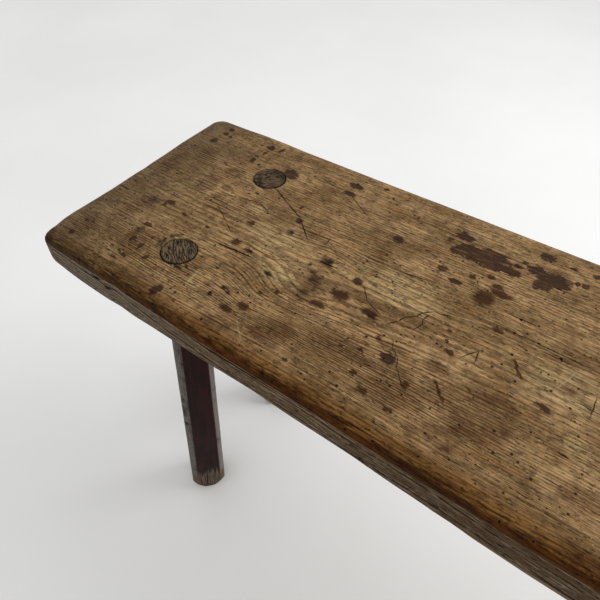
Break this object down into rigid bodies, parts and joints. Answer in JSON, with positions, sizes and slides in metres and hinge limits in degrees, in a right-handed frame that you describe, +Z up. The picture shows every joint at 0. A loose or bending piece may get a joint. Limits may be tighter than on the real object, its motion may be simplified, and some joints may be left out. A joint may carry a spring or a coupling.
{
  "type": "pig bench",
  "caption": "Low rustic bench: a thick worn pine plank on splayed chamfered legs whose round tenons come up through the seat.",
  "frame": {"origin": "on the floor, at the middle of the bench's bounding box", "axes": "+X along the bench, with the pictured end at -X; -Y is the front, the bellied long edge; +Z up"},
  "size_m": [1.5, 0.3, 0.48],
  "materials": {
    "seat_wood": "worn, waxed and stained softwood",
    "leg_wood": "old dark paint or stain, worn bare at the foot"
  },
  "bodies": {
    "root": {"seat_plank": "seat_wood", "leg_front_left": "leg_wood", "leg_front_right": "leg_wood", "leg_back_left": "leg_wood", "leg_back_right": "leg_wood"}
  },
  "joints": []
}
